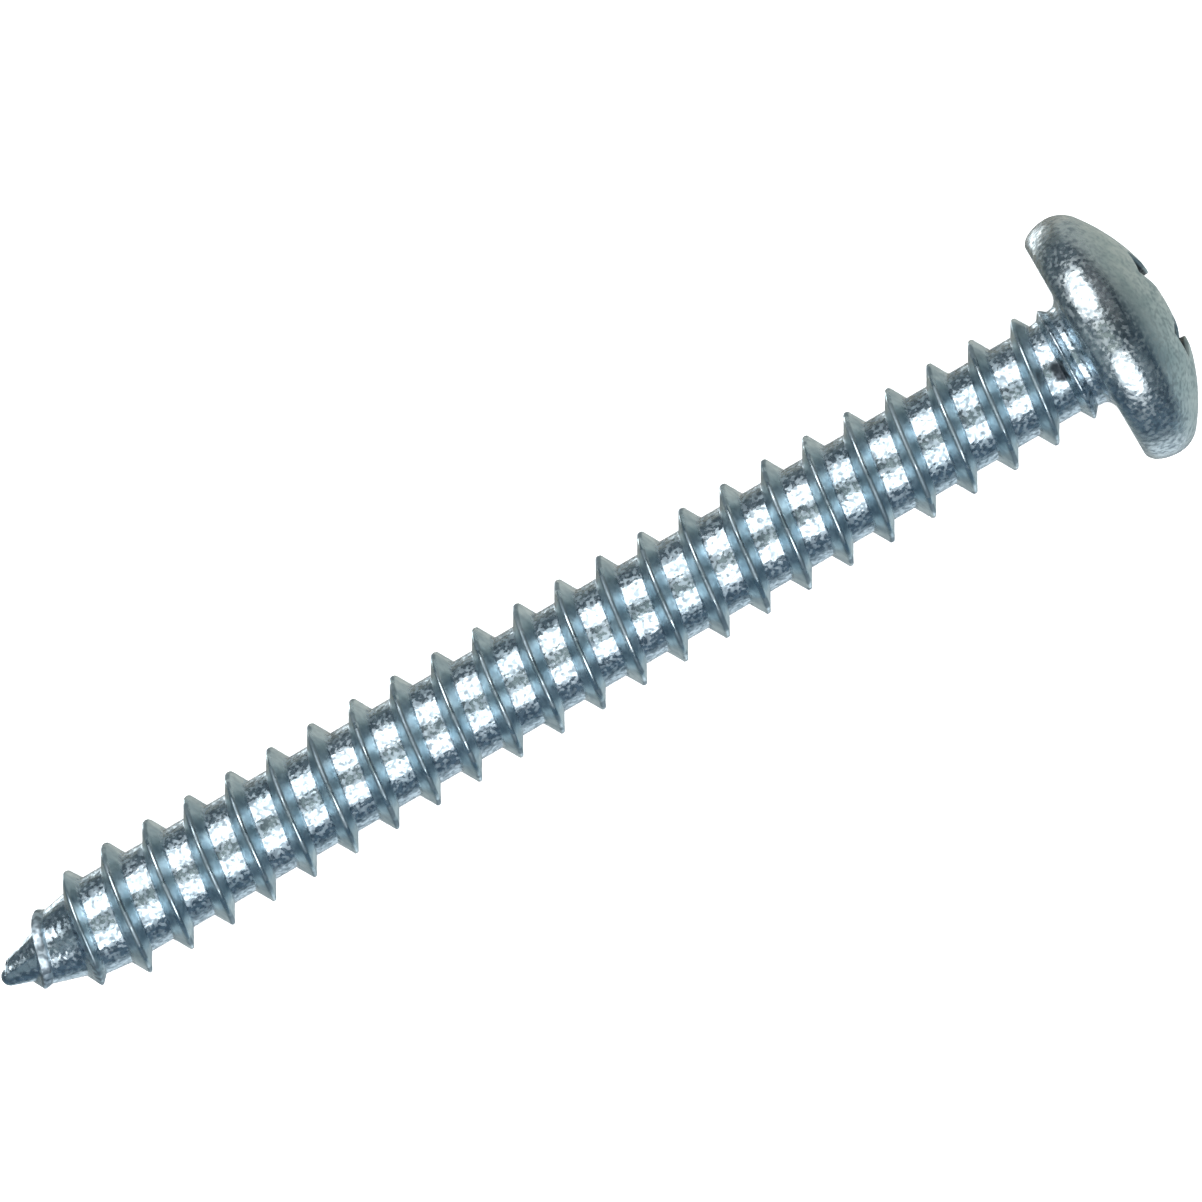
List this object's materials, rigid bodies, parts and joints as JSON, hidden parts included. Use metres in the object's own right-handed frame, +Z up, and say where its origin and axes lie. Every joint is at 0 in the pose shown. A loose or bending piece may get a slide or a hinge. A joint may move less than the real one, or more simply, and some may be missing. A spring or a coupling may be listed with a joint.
{
  "type": "sheet metal screw",
  "caption": "Pan head sheet metal screw with a cross recess, a coarse tapping thread up to the head and a tapered point, lying on its side.",
  "frame": {"origin": "on the surface that the screw lies on, below the middle of its length", "axes": "+X towards the head, along the screw as it lies; +Z up; the screw's own axis rises 3.3 degrees towards the head"},
  "size_m": [0.0408, 0.0082, 0.0081],
  "materials": {
    "zinc_plated_steel": "bright zinc plating with a fine grain, bluish grey"
  },
  "bodies": {
    "root": {"screw": "zinc_plated_steel"}
  },
  "joints": []
}
